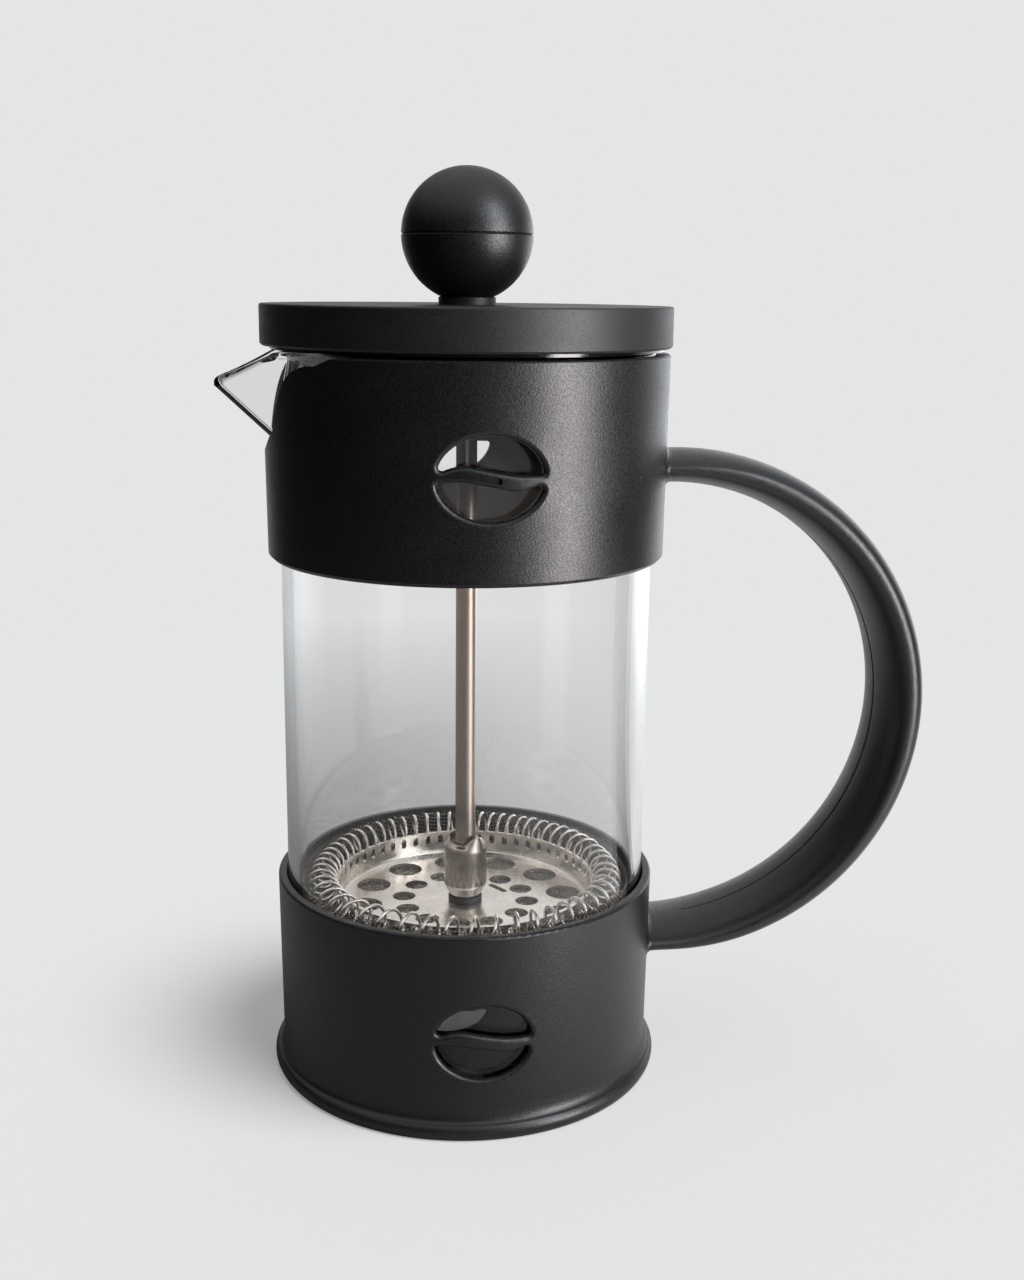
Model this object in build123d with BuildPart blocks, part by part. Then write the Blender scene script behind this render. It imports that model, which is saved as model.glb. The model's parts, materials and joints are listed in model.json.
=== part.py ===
"""French press, 0.35 litre: plastic holder with a loop handle, glass beaker, lid and plunger.

Millimetres. The origin is on the press's axis at the underside of the holder's base.
+Z is up, the handle is at +X, the pouring spout at -X and the windows face -Y and +Y.
The plunger is shown fully pressed, with its ball knob resting on the lid.
"""
from build123d import *
from math import cos, radians, sin, sqrt, tan
import os

os.makedirs("parts", exist_ok=True)

# ---------------------------------------------------------------- driving dimensions
# Glass beaker
glass_radius = 35.0
glass_wall = 1.9
glass_floor = 2.2
glass_heel_radius = 6.0
glass_rim_height = 140.3
glass_bore = glass_radius - glass_wall

# Pouring spout: a V in plan whose ridge leans outwards
spout_half_angle = 36.0
spout_ridge_lean = 1.067
spout_ridge_foot_height = 124.3
spout_ridge_foot_reach = 38.2
spout_tip_radius = 2.4
spout_lip_slope = 0.54
spout_wall_in_plan = 3.4
spout_blend = 1.2
spout_root = 20.0
spout_low = 120.0
lip_start = glass_radius + 0.2
lip_reach = glass_radius + 20.0

# Holder: base cup, upper band and loop handle are one black moulding
holder_bore = 35.4
base_floor = 3.0
base_height = 39.2
base_low_radius = 36.5
base_top_radius = 36.9
foot_bead_radius = 38.3
foot_bead_height = 2.8
foot_bead_bulge = 0.65
foot_blend_height = 3.0
foot_tangent = (-1, 0.3)
rim_round = 0.5
rim_bulge = rim_round * (1 - sqrt(0.5))
foot_recess_outer = 33.0
foot_recess_inner = 9.0
foot_recess_depth = 0.5
cut_reach = 60.0
cut_margin = 0.5
wall_cut = 3.0
band_bottom = 102.2
band_top = 139.8
band_low_radius = 37.3
band_top_radius = 37.7
band_low_round = 0.7
band_top_edge = 0.3
notch_floor = 121.8
notch_turn = 126.0
notch_low = 11.0
notch_high = 14.6
notch_shoulder = 132.4
notch_mouth = 24.8
notch_ledge = 138.2
notch_top = 29.0

# Handle: an elliptical section swept round a half circle
handle_centre_x = 39.6
handle_centre_z = 71.3
handle_radius = 47.4
handle_half_width = 10.6
handle_thick_top = 3.1
handle_thick_middle = 4.1
handle_thick_bottom = 2.7
handle_root_blend = 1.2
root_start = 34.0
root_rim_length = 10.0

# Windows: an oval split into two lobes by an S-shaped bar
window_half_height = 7.2
window_bevel = 0.85
lobe_corner = 0.7
bar_end_tangent = (1, 0.15)
bar_edge_points = [(-10.5, 0.55), (-4.8, 2.1), (-0.7, 1.5), (3.4, 0.75), (10.5, 0.55)]
base_window_height = 18.5
base_window_half_width = 8.8
base_window_facing = -0.5
band_window_height = 120.5
band_window_half_width = 9.1
gate_mark_radius = 0.5
gate_mark_depth = 0.35
gate_mark_place = (1.6, -0.3)
band_window_facing = 0.4

# Lid
lid_radius = 38.0
lid_bottom = 140.9
lid_top = 148.3
lid_plate = 2.2
lid_skirt_wall = 1.7
liner_plate = 1.4
liner_outer_radius = 32.6
liner_wall = 1.3
liner_depth = 9.3
liner_slot_count = 9
liner_slot_width = 2.0
liner_slot_pitch = 7.0
liner_slot_height = 6.5
lid_edge_round = 0.4
lid_hub_wall = 1.6
lid_rib_count = 6
lid_rib_length = 22.0
lid_rib_middle = 17.0
lid_rib_width = 1.2
liner_top = glass_rim_height + liner_plate

# Plunger
rod_radius = 2.0
rod_running_clearance = 0.05
rod_bottom = 25.8
rod_top = 158.0
bushing_radius = 3.6
bushing_collar_radius = 5.3
bushing_collar_top = 149.8
bushing_collar_taper = 0.4
knob_radius = 12.1
knob_centre = 160.8
knob_shell = 2.3
insert_radius = 3.2
insert_bottom = 151.0
insert_top = 159.0
knob_post_radius = 5.0
knob_floor = 4.2
knob_floor_reach = 8.0
knob_belly_angle = -40.0
knob_seam = 0.25
knob_flat_radius = sqrt(knob_radius**2 - (knob_centre - bushing_collar_top) ** 2)
spigot_clearance = 0.7
spigot_wall = 1.4
spigot_depth = 2.0
spigot_root = 5.0
rod_bore = rod_radius + rod_running_clearance

# Filter stack, listed from the plate on which the hub stands
plate_top = 31.8
plate_sheet = 0.7
plate_wall_radius = 25.9
plate_wall_top = 36.8
plate_fold_radius = 1.5
outer_hole_radius = 3.5
outer_hole_circle = 20.2
inner_hole_radius = 2.3
inner_hole_circle = 12.4
hole_count = 12
hole_start = 3.0
leaf_slot_length = 5.2
leaf_slot_width = 1.3
leaf_slot_circle = 8.6
leaf_slot_angle = 33.0
rim_hole_count = 56
rim_hole_height = 35.2
rim_hole_length = 2.0
rim_hole_width = 1.1
coil_circle = 28.4
coil_minor_radius = 3.1
coil_sheet = 0.2
coil_gap_depth = 1.0
coil_gap_height = 4.4
coil_centre_height = 37.0
screen_radius = 32.4
screen_sheet = 0.3
screen_rim_height = 39.0
screen_bend_radius = 4.5
cross_plate_radius = 26.0
cross_plate_sheet = 1.0
cross_hole_count = 8
cross_hole_circle = 16.0
cross_hole_radius = 4.6
hub_radius = 4.25
hub_shoulder = 43.2
hub_top = 45.2
hub_washer_radius = 3.35
hub_washer_thickness = 1.2
hub_notch_count = 4
hub_notch_width = 1.3
hub_notch_depth = 1.5
hub_wall = 1.8
hub_foot_height = 1.7
hub_foot_inset = 0.3
hub_crimp = 1.3
hub_cup = 0.8
nut_radius = 6.0
nut_height = 3.6


# ---------------------------------------------------------------- shared profiles
def handle_thickness(turn):
    """Half thickness of the handle at a turn from -1 (bottom root) through 0 to 1 (top root)."""
    upper = handle_thick_top * turn * (turn + 1) / 2
    lower = handle_thick_bottom * turn * (turn - 1) / 2
    return handle_thick_middle * (1 - turn * turn) + upper + lower


def window_sketch(centre_height, half_width, facing):
    """Both lobes of one window, drawn face-on and turned to the wall it goes through."""
    bar_top = [(x, centre_height + z) for x, z in bar_edge_points]
    bar_bottom = [(-x, centre_height - z) for x, z in bar_edge_points]
    with BuildSketch(Plane.XZ.rotated((0, 0, facing))) as lobes:
        with Locations((0, centre_height)):
            Ellipse(half_width, window_half_height)
        with BuildLine():
            Spline(bar_top, tangents=[bar_end_tangent, (1, 0)])
            Line(bar_top[-1], bar_bottom[0])
            Spline(bar_bottom, tangents=[(-bar_end_tangent[0], -bar_end_tangent[1]), (-1, 0)])
            Line(bar_bottom[-1], bar_top[0])
        make_face(mode=Mode.SUBTRACT)
        fillet(lobes.vertices(), radius=lobe_corner)
    return lobes.sketch


def root_sketch(height, half_thickness):
    """Section of the stub that carries one end of the handle."""
    with BuildSketch(Plane.YZ.offset(root_start)) as section:
        with Locations((0, height)):
            Ellipse(handle_half_width, half_thickness)
    return section.sketch


def window_edges(part, centre_height):
    """The outer edges of the windows' lobes, which get the rounded bevel."""
    reach = window_half_height + cut_margin
    near = part.edges().filter_by(lambda e: abs(e.center().Z - centre_height) < reach)
    return near.filter_by(lambda e: abs(e.center().Y) > holder_bore + cut_margin / 10)


def root_edges(part, height):
    """The edge where the handle's stub at the given height leaves the round wall."""
    near = part.edges().filter_by(lambda e: root_start - 1 < e.center().X < handle_centre_x - cut_margin)
    near = near.filter_by(lambda e: abs(e.center().Z - height) < 2 * handle_thick_middle)
    return near.filter_by(lambda e: e.length > root_rim_length)


def sheet_section(points, bend_radius, thickness):
    """Section of a bent sheet of even thickness, from the middle line's corners."""
    with BuildSketch(Plane.XZ) as section:
        with BuildLine() as middle:
            FilletPolyline(*points, radius=bend_radius)
        trace(middle.line, line_width=thickness)
    return section.sketch


def upright_plane(turn, height=0.0):
    """The plane on the press's axis that looks out at a turn from +X, its own Y axis down."""
    return Plane((0, 0, height), x_dir=(sin(turn), -cos(turn), 0), z_dir=(cos(turn), sin(turn), 0))


def ring_sketch(height, outer, inner):
    """A flat ring section at the given height."""
    with BuildSketch(Plane.XY.offset(height)) as ring:
        Circle(outer)
        Circle(inner, mode=Mode.SUBTRACT)
    return ring.sketch


# ---------------------------------------------------------------- holder: base cup
bottom_root_height = handle_centre_z - handle_radius
with BuildPart() as base_cup:
    with BuildSketch(Plane.XZ):
        with BuildLine():
            bead_arc = ThreePointArc(
                (foot_bead_radius - foot_bead_bulge, 0),
                (foot_bead_radius, foot_bead_height / 2),
                (foot_bead_radius - foot_bead_bulge, foot_bead_height),
            )
            blend = Spline(
                bead_arc @ 1,
                (base_low_radius, foot_bead_height + foot_blend_height),
                tangents=[foot_tangent, (0, 1)],
            )
            rim_arc = ThreePointArc(
                (base_top_radius, base_height - rim_round),
                (base_top_radius - rim_bulge, base_height - rim_bulge),
                (base_top_radius - rim_round, base_height),
            )
            Line(blend @ 1, rim_arc @ 0)
            Polyline(rim_arc @ 1, (0, base_height), (0, 0), bead_arc @ 0)
        make_face()
    revolve(axis=Axis.Z)
    extrude(root_sketch(bottom_root_height, handle_thick_bottom), amount=handle_centre_x - root_start)
    fillet(root_edges(base_cup, bottom_root_height), radius=handle_root_blend)
    with BuildSketch(Plane.XY.offset(base_floor)):
        Circle(holder_bore)
    extrude(amount=base_height, mode=Mode.SUBTRACT)
    with BuildSketch(Plane.XY):
        Circle(foot_recess_outer)
        Circle(foot_recess_inner, mode=Mode.SUBTRACT)
    extrude(amount=foot_recess_depth, mode=Mode.SUBTRACT)
    for facing in (base_window_facing, base_window_facing + 180):
        lobes = window_sketch(base_window_height, base_window_half_width, facing)
        extrude(lobes, amount=cut_reach, mode=Mode.SUBTRACT)
    fillet(window_edges(base_cup, base_window_height), radius=window_bevel)
base_cup.part.label = "base_cup"
export_step(base_cup.part, "parts/base_cup.step")

# ---------------------------------------------------------------- holder: upper band
top_root_height = handle_centre_z + handle_radius
with BuildPart() as upper_band:
    with BuildSketch(Plane.XZ):
        with BuildLine():
            Polyline(
                (0, band_bottom),
                (band_low_radius - band_low_round, band_bottom),
                (band_low_radius, band_bottom + band_low_round),
                (band_top_radius, band_top - band_top_edge),
                (band_top_radius - band_top_edge, band_top),
                (0, band_top),
                close=True,
            )
        make_face()
    revolve(axis=Axis.Z)
    extrude(root_sketch(top_root_height, handle_thick_top), amount=handle_centre_x - root_start)
    fillet(root_edges(upper_band, top_root_height), radius=handle_root_blend)
    with BuildSketch(Plane.XY.offset(band_bottom)):
        Circle(holder_bore)
    extrude(amount=band_top - band_bottom, mode=Mode.SUBTRACT)
    for facing in (band_window_facing, band_window_facing + 180):
        lobes = window_sketch(band_window_height, band_window_half_width, facing)
        extrude(lobes, amount=cut_reach, mode=Mode.SUBTRACT)
    fillet(window_edges(upper_band, band_window_height), radius=window_bevel)
    with BuildSketch(Plane.XZ.offset(band_low_radius - gate_mark_depth).rotated((0, 0, band_window_facing))):
        with Locations((gate_mark_place[0], band_window_height + gate_mark_place[1])):
            Circle(gate_mark_radius)
    extrude(amount=wall_cut, mode=Mode.SUBTRACT)
    with BuildSketch(Plane.YZ):
        with BuildLine():
            ThreePointArc((-notch_low, notch_turn), (0, notch_floor), (notch_low, notch_turn))
            for side in (1, -1):
                flank = Line((side * notch_low, notch_turn), (side * notch_high, notch_shoulder))
                shoulder = TangentArc(flank @ 1, (side * notch_mouth, notch_ledge), tangent=flank % 1)
                Line(shoulder @ 1, (side * notch_top, band_top + cut_margin))
            Line((notch_top, band_top + cut_margin), (-notch_top, band_top + cut_margin))
        make_face()
    extrude(amount=-cut_reach, mode=Mode.SUBTRACT)
upper_band.part.label = "upper_band"
export_step(upper_band.part, "parts/upper_band.step")

# ---------------------------------------------------------------- holder: loop handle
handle_turns = (1.0, 0.5, 0.0, -0.5, -1.0)
with BuildPart() as handle:
    with BuildLine(Plane.XZ) as handle_line:
        CenterArc((handle_centre_x, handle_centre_z), handle_radius, 90, -180)
    handle_sections = []
    for turn in handle_turns:
        angle = radians(90 * turn)
        outward = Vector(cos(angle), 0, sin(angle))
        middle = Vector(handle_centre_x, 0, handle_centre_z) + outward * handle_radius
        with BuildSketch(Plane(middle, x_dir=outward, z_dir=(sin(angle), 0, -cos(angle)))) as section:
            Ellipse(handle_thickness(turn), handle_half_width)
        handle_sections.append(section.sketch)
    sweep(handle_sections, path=handle_line.line, multisection=True)
handle.part.label = "handle"
export_step(handle.part, "parts/handle.step")

# ---------------------------------------------------------------- glass beaker
def spout_wedge(reach_loss, tip_radius, low, high):
    """The spout as a solid V, its ridge leaning outwards, between two heights."""
    with BuildPart() as wedge:
        for height in (low, high):
            tip = spout_ridge_foot_reach - reach_loss + spout_ridge_lean * (height - spout_ridge_foot_height)
            half = (tip - spout_root) * tan(radians(spout_half_angle))
            with BuildSketch(Plane.XY.offset(height)):
                with BuildLine():
                    Polyline((-tip, 0), (-spout_root, half), (-spout_root, -half), close=True)
                make_face()
        loft(ruled=True)
        ridge = wedge.edges().filter_by(lambda e: abs(e.center().Y) < 0.01 and e.length > 5)
        fillet(ridge.sort_by(Axis.X)[0], radius=tip_radius)
    return wedge.part


with BuildPart() as glass_beaker:
    with BuildSketch(Plane.XY.offset(base_floor)):
        Circle(glass_radius)
    extrude(amount=glass_rim_height - base_floor)
    fillet(glass_beaker.edges().group_by(Axis.Z)[0], radius=glass_heel_radius)
    add(spout_wedge(0, spout_tip_radius, spout_low, glass_rim_height))
    junction = glass_beaker.edges().filter_by(
        lambda e: -lip_start - cut_margin < e.center().X < -glass_radius * 0.7
        and abs(e.center().Y) > spout_tip_radius / 2
        and e.center().Z < glass_rim_height - cut_margin
    )
    fillet(junction, radius=spout_blend)
    with BuildSketch(Plane.XY.offset(base_floor + glass_floor)):
        Circle(glass_bore)
    extrude(amount=glass_rim_height, mode=Mode.SUBTRACT)
    hollow = spout_wedge(spout_wall_in_plan, spout_tip_radius / 3, spout_low, glass_rim_height + cut_margin)
    add(hollow, mode=Mode.SUBTRACT)
    with BuildSketch(Plane.XZ):
        with BuildLine():
            Polyline(
                (-lip_start, glass_rim_height),
                (-lip_reach, glass_rim_height - (lip_reach - lip_start) * spout_lip_slope),
                (-lip_reach, glass_rim_height + cut_margin),
                (-lip_start, glass_rim_height + cut_margin),
                close=True,
            )
        make_face()
    extrude(amount=cut_reach, both=True, mode=Mode.SUBTRACT)
glass_beaker.part.label = "glass_beaker"
export_step(glass_beaker.part, "parts/glass_beaker.step")

# ---------------------------------------------------------------- lid: moulded cap
with BuildPart() as lid_cap:
    with BuildSketch(Plane.XY.offset(lid_bottom)):
        Circle(lid_radius)
    extrude(amount=lid_top - lid_bottom)
    fillet(lid_cap.edges().group_by(Axis.Z)[-1], radius=lid_edge_round)
    chamfer(lid_cap.edges().group_by(Axis.Z)[0], length=lid_edge_round)
    with BuildSketch(Plane.XY.offset(lid_bottom)):
        Circle(lid_radius - lid_skirt_wall)
    extrude(amount=lid_top - lid_plate - lid_bottom, mode=Mode.SUBTRACT)
    with BuildSketch(Plane.XY.offset(liner_top)):
        Circle(bushing_radius + lid_hub_wall)
        with PolarLocations(lid_rib_middle, lid_rib_count):
            Rectangle(lid_rib_length, lid_rib_width)
    extrude(amount=lid_top - lid_plate - liner_top)
    with BuildSketch(Plane.XY.offset(lid_bottom)):
        Circle(bushing_radius)
    extrude(amount=lid_top - lid_bottom, mode=Mode.SUBTRACT)
lid_cap.part.label = "lid_cap"
export_step(lid_cap.part, "parts/lid_cap.step")

# ---------------------------------------------------------------- lid: liner with pouring slots
with BuildPart() as lid_liner:
    extrude(ring_sketch(glass_rim_height, lid_radius - lid_skirt_wall, bushing_radius), amount=liner_plate)
    skirt_bottom = glass_rim_height - liner_depth
    skirt = ring_sketch(skirt_bottom, liner_outer_radius, liner_outer_radius - liner_wall)
    extrude(skirt, amount=liner_depth)
    chamfer(lid_liner.edges().group_by(Axis.Z)[0], length=liner_wall / 4)
    middle_slot = (liner_slot_count - 1) / 2
    for slot in range(liner_slot_count):
        turn = radians(180 + (slot - middle_slot) * liner_slot_pitch)
        with BuildSketch(upright_plane(turn, (skirt_bottom + glass_rim_height) / 2)):
            SlotOverall(liner_slot_height, liner_slot_width, rotation=90)
        extrude(amount=lid_radius, mode=Mode.SUBTRACT)
lid_liner.part.label = "lid_liner"
export_step(lid_liner.part, "parts/lid_liner.step")

# ---------------------------------------------------------------- lid: rod bushing
with BuildPart() as rod_bushing:
    extrude(ring_sketch(glass_rim_height, bushing_radius, rod_bore), amount=lid_top - glass_rim_height)
    extrude(ring_sketch(lid_top, bushing_collar_radius, rod_bore), amount=bushing_collar_top - lid_top)
    chamfer(
        rod_bushing.edges().group_by(Axis.Z)[-1].sort_by(SortBy.RADIUS)[-1],
        length=bushing_collar_taper / 2,
        length2=bushing_collar_taper,
    )
rod_bushing.part.label = "rod_bushing"
export_step(rod_bushing.part, "parts/rod_bushing.step")

# ---------------------------------------------------------------- plunger: ball knob
with BuildPart() as knob_lower:
    with BuildSketch(Plane.XZ):
        with BuildLine():
            flat = Line((insert_radius, bushing_collar_top), (knob_flat_radius, bushing_collar_top))
            equator = (knob_radius, knob_centre - knob_seam)
            belly_angle = radians(knob_belly_angle)
            belly = (knob_radius * cos(belly_angle), knob_centre + knob_radius * sin(belly_angle))
            ThreePointArc(flat @ 1, belly, equator)
            inner = knob_radius - knob_shell
            Polyline(
                equator,
                (knob_radius - knob_seam, knob_centre),
                (inner, knob_centre),
                (knob_floor_reach, bushing_collar_top + knob_floor),
                (knob_post_radius, bushing_collar_top + knob_floor),
                (knob_post_radius, insert_top),
                (insert_radius, insert_top),
                flat @ 0,
            )
        make_face()
    revolve(axis=Axis.Z)
knob_lower.part.label = "knob_lower"
export_step(knob_lower.part, "parts/knob_lower.step")

with BuildPart(Plane.XY.offset(knob_centre)) as knob_upper:
    Sphere(knob_radius)
    Sphere(knob_radius - knob_shell, mode=Mode.SUBTRACT)
    split(bisect_by=Plane.XY.offset(knob_centre), keep=Keep.TOP)
    chamfer(knob_upper.edges().filter_by(GeomType.CIRCLE).sort_by(SortBy.RADIUS)[-1], length=knob_seam)
    spigot_outer = knob_radius - knob_shell - spigot_clearance
    with BuildSketch(Plane.XY.offset(knob_centre - spigot_depth)):
        Circle(spigot_outer)
        Circle(spigot_outer - spigot_wall, mode=Mode.SUBTRACT)
    extrude(amount=spigot_depth + spigot_root)
knob_upper.part.label = "knob_upper"
export_step(knob_upper.part, "parts/knob_upper.step")

with BuildPart() as knob_insert:
    extrude(ring_sketch(insert_bottom, insert_radius, rod_radius), amount=insert_top - insert_bottom)
knob_insert.part.label = "knob_insert"
export_step(knob_insert.part, "parts/knob_insert.step")

# ---------------------------------------------------------------- plunger: rod
with BuildPart() as plunger_rod:
    with BuildSketch(Plane.XY.offset(rod_bottom)):
        Circle(rod_radius)
    extrude(amount=rod_top - rod_bottom)
    chamfer(plunger_rod.edges().filter_by(GeomType.CIRCLE), length=rod_radius / 5)
plunger_rod.part.label = "plunger_rod"
export_step(plunger_rod.part, "parts/plunger_rod.step")

# ---------------------------------------------------------------- plunger: hub that clamps the filter
hub_bottom = plate_top + hub_washer_thickness
with BuildPart() as rod_hub:
    with BuildSketch(Plane.XZ):
        with BuildLine():
            Polyline(
                (rod_radius, hub_bottom),
                (hub_washer_radius - hub_foot_inset, hub_bottom),
                (hub_radius, hub_bottom + hub_foot_height),
                (hub_radius, hub_shoulder),
                (hub_radius - hub_crimp, hub_top),
                (rod_radius, hub_top - hub_cup),
                close=True,
            )
        make_face()
    revolve(axis=Axis.Z)
    with BuildSketch(Plane.XY.offset(hub_top - hub_notch_depth)):
        with PolarLocations(hub_radius - hub_wall / 2, hub_notch_count):
            Rectangle(hub_wall + hub_crimp / 2, hub_notch_width)
    extrude(amount=hub_notch_depth, mode=Mode.SUBTRACT)
rod_hub.part.label = "rod_hub"
export_step(rod_hub.part, "parts/rod_hub.step")

with BuildPart() as hub_washer:
    extrude(ring_sketch(plate_top, hub_washer_radius, rod_radius), amount=hub_washer_thickness)
    rims = hub_washer.edges().filter_by(GeomType.CIRCLE).group_by(SortBy.RADIUS)
    fillet(rims[-1], radius=hub_washer_thickness / 4)
hub_washer.part.label = "hub_washer"
export_step(hub_washer.part, "parts/hub_washer.step")

# ---------------------------------------------------------------- plunger: perforated spring plate
with BuildPart() as spring_plate:
    plate_middle = plate_top - plate_sheet / 2
    wall_middle = plate_wall_radius - plate_sheet / 2
    bend = [(rod_radius, plate_middle), (wall_middle, plate_middle), (wall_middle, plate_wall_top)]
    revolve(sheet_section(bend, plate_fold_radius, plate_sheet), axis=Axis.Z)
    with BuildSketch(Plane.XY.offset(plate_top - plate_sheet)):
        with PolarLocations(outer_hole_circle, hole_count, start_angle=hole_start):
            Circle(outer_hole_radius)
        with PolarLocations(inner_hole_circle, hole_count, start_angle=hole_start + 180 / hole_count):
            Circle(inner_hole_radius)
        with PolarLocations(leaf_slot_circle, 1, start_angle=leaf_slot_angle):
            SlotOverall(leaf_slot_length, leaf_slot_width, rotation=90)
    extrude(amount=plate_sheet, mode=Mode.SUBTRACT)
    for hole in range(rim_hole_count):
        with BuildSketch(upright_plane(radians(360 * hole / rim_hole_count), rim_hole_height)):
            SlotOverall(rim_hole_length, rim_hole_width, rotation=90)
        extrude(amount=plate_wall_radius + plate_sheet, mode=Mode.SUBTRACT)
spring_plate.part.label = "spring_plate"
export_step(spring_plate.part, "parts/spring_plate.step")

# ---------------------------------------------------------------- plunger: coil spring round the plate
with BuildPart() as coil_spring:
    with BuildSketch(Plane.XZ):
        with Locations((coil_circle, coil_centre_height)):
            Circle(coil_minor_radius)
            Circle(coil_minor_radius - coil_sheet, mode=Mode.SUBTRACT)
        with Locations((coil_circle - coil_minor_radius, coil_centre_height)):
            Rectangle(2 * coil_gap_depth, coil_gap_height, mode=Mode.SUBTRACT)
    revolve(axis=Axis.Z)
coil_spring.part.label = "coil_spring"
export_step(coil_spring.part, "parts/coil_spring.step")

# ---------------------------------------------------------------- plunger: gauze screen
screen_top = plate_top - plate_sheet
with BuildPart() as mesh_screen:
    screen_middle = screen_top - screen_sheet / 2
    rim_middle = screen_radius - screen_sheet / 2
    bend = [(rod_radius, screen_middle), (rim_middle, screen_middle), (rim_middle, screen_rim_height)]
    revolve(sheet_section(bend, screen_bend_radius, screen_sheet), axis=Axis.Z)
mesh_screen.part.label = "mesh_screen"
export_step(mesh_screen.part, "parts/mesh_screen.step")

# ---------------------------------------------------------------- plunger: cross plate and its nut
cross_top = screen_top - screen_sheet
with BuildPart() as cross_plate:
    cross_bottom = cross_top - cross_plate_sheet
    extrude(ring_sketch(cross_bottom, cross_plate_radius, rod_radius), amount=cross_plate_sheet)
    with BuildSketch(Plane.XY.offset(cross_bottom)):
        with PolarLocations(cross_hole_circle, cross_hole_count):
            Circle(cross_hole_radius)
    extrude(amount=cross_plate_sheet, mode=Mode.SUBTRACT)
    chamfer(cross_plate.edges().group_by(Axis.Z)[0], length=cross_plate_sheet / 4)
cross_plate.part.label = "cross_plate"
export_step(cross_plate.part, "parts/cross_plate.step")

with BuildPart() as retaining_nut:
    with BuildSketch(Plane.XY.offset(cross_bottom - nut_height)):
        RegularPolygon(nut_radius, side_count=6)
        Circle(rod_radius, mode=Mode.SUBTRACT)
    extrude(amount=nut_height)
retaining_nut.part.label = "retaining_nut"
export_step(retaining_nut.part, "parts/retaining_nut.step")
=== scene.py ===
"""Looks for the small French press: materials, detailed pieces, floor, light and camera.

Metres, +Z up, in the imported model's frame: the handle is at +X, the spout at -X and the viewer at -Y.
CAD nodes keep their meshes and get procedural materials. The glass, the coil, the gauze, the hub's
crimped collar and the handle are rebuilt here with finer geometry and stand for their nodes.
"""

import json
import math
import random

import bmesh
import bpy
from mathutils import Matrix, Vector

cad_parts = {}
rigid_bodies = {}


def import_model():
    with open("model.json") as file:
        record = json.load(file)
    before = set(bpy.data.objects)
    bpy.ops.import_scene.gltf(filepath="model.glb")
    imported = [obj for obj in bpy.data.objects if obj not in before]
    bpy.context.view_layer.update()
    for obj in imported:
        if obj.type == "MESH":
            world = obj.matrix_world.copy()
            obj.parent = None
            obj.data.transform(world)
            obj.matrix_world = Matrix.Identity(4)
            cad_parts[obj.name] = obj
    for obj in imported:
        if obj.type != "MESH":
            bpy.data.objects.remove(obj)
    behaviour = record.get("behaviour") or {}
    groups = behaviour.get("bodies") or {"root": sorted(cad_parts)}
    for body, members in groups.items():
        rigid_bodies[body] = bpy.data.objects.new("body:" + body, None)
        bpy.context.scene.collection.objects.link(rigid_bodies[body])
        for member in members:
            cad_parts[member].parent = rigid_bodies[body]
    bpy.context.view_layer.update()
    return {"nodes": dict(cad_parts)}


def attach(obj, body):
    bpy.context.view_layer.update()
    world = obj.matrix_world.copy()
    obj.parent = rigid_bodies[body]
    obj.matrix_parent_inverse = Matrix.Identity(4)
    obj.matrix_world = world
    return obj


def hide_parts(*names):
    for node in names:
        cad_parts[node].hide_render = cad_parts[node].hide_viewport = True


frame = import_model()

MM = 0.001


# ------------------------------------------------------------------ material building blocks
def new_material(name):
    """A node material, its tree and the principled shader that feeds its output."""
    material = bpy.data.materials.new(name)
    material.use_nodes = True
    tree = material.node_tree
    tree.nodes.clear()
    output = tree.nodes.new("ShaderNodeOutputMaterial")
    shader = tree.nodes.new("ShaderNodeBsdfPrincipled")
    tree.links.new(shader.outputs["BSDF"], output.inputs["Surface"])
    return material, tree, shader


def object_coords(tree, scale):
    """Object coordinates stretched by three factors."""
    coords = tree.nodes.new("ShaderNodeTexCoord")
    mapping = tree.nodes.new("ShaderNodeMapping")
    mapping.inputs["Scale"].default_value = scale
    tree.links.new(coords.outputs["Object"], mapping.inputs["Vector"])
    return mapping.outputs["Vector"]


def noise_value(tree, vector, scale, detail, roughness):
    """Fractal noise between 0 and 1, scale cells to the metre."""
    noise = tree.nodes.new("ShaderNodeTexNoise")
    noise.inputs["Scale"].default_value = scale
    noise.inputs["Detail"].default_value = detail
    noise.inputs["Roughness"].default_value = roughness
    tree.links.new(vector, noise.inputs["Vector"])
    return noise.outputs["Fac"]


def remap(tree, value, low, high, from_low=0.3, from_high=0.7):
    """value taken from one range to another and held at the ends."""
    node = tree.nodes.new("ShaderNodeMapRange")
    node.inputs["From Min"].default_value = from_low
    node.inputs["From Max"].default_value = from_high
    node.inputs["To Min"].default_value = low
    node.inputs["To Max"].default_value = high
    tree.links.new(value, node.inputs["Value"])
    return node.outputs["Result"]


def colour_mix(tree, value, low, high, from_low, from_high):
    """A colour that goes from low to high as value goes from from_low to from_high."""
    ramp = tree.nodes.new("ShaderNodeValToRGB")
    ramp.color_ramp.elements[0].position = from_low
    ramp.color_ramp.elements[0].color = (*low, 1.0)
    ramp.color_ramp.elements[1].position = from_high
    ramp.color_ramp.elements[1].color = (*high, 1.0)
    tree.links.new(value, ramp.inputs["Fac"])
    return ramp.outputs["Color"]


def calculate(tree, operation, first, second):
    """The result of one sum; second may be a number."""
    node = tree.nodes.new("ShaderNodeMath")
    node.operation = operation
    tree.links.new(first, node.inputs[0])
    if isinstance(second, float):
        node.inputs[1].default_value = second
    else:
        tree.links.new(second, node.inputs[1])
    return node.outputs["Value"]


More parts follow.
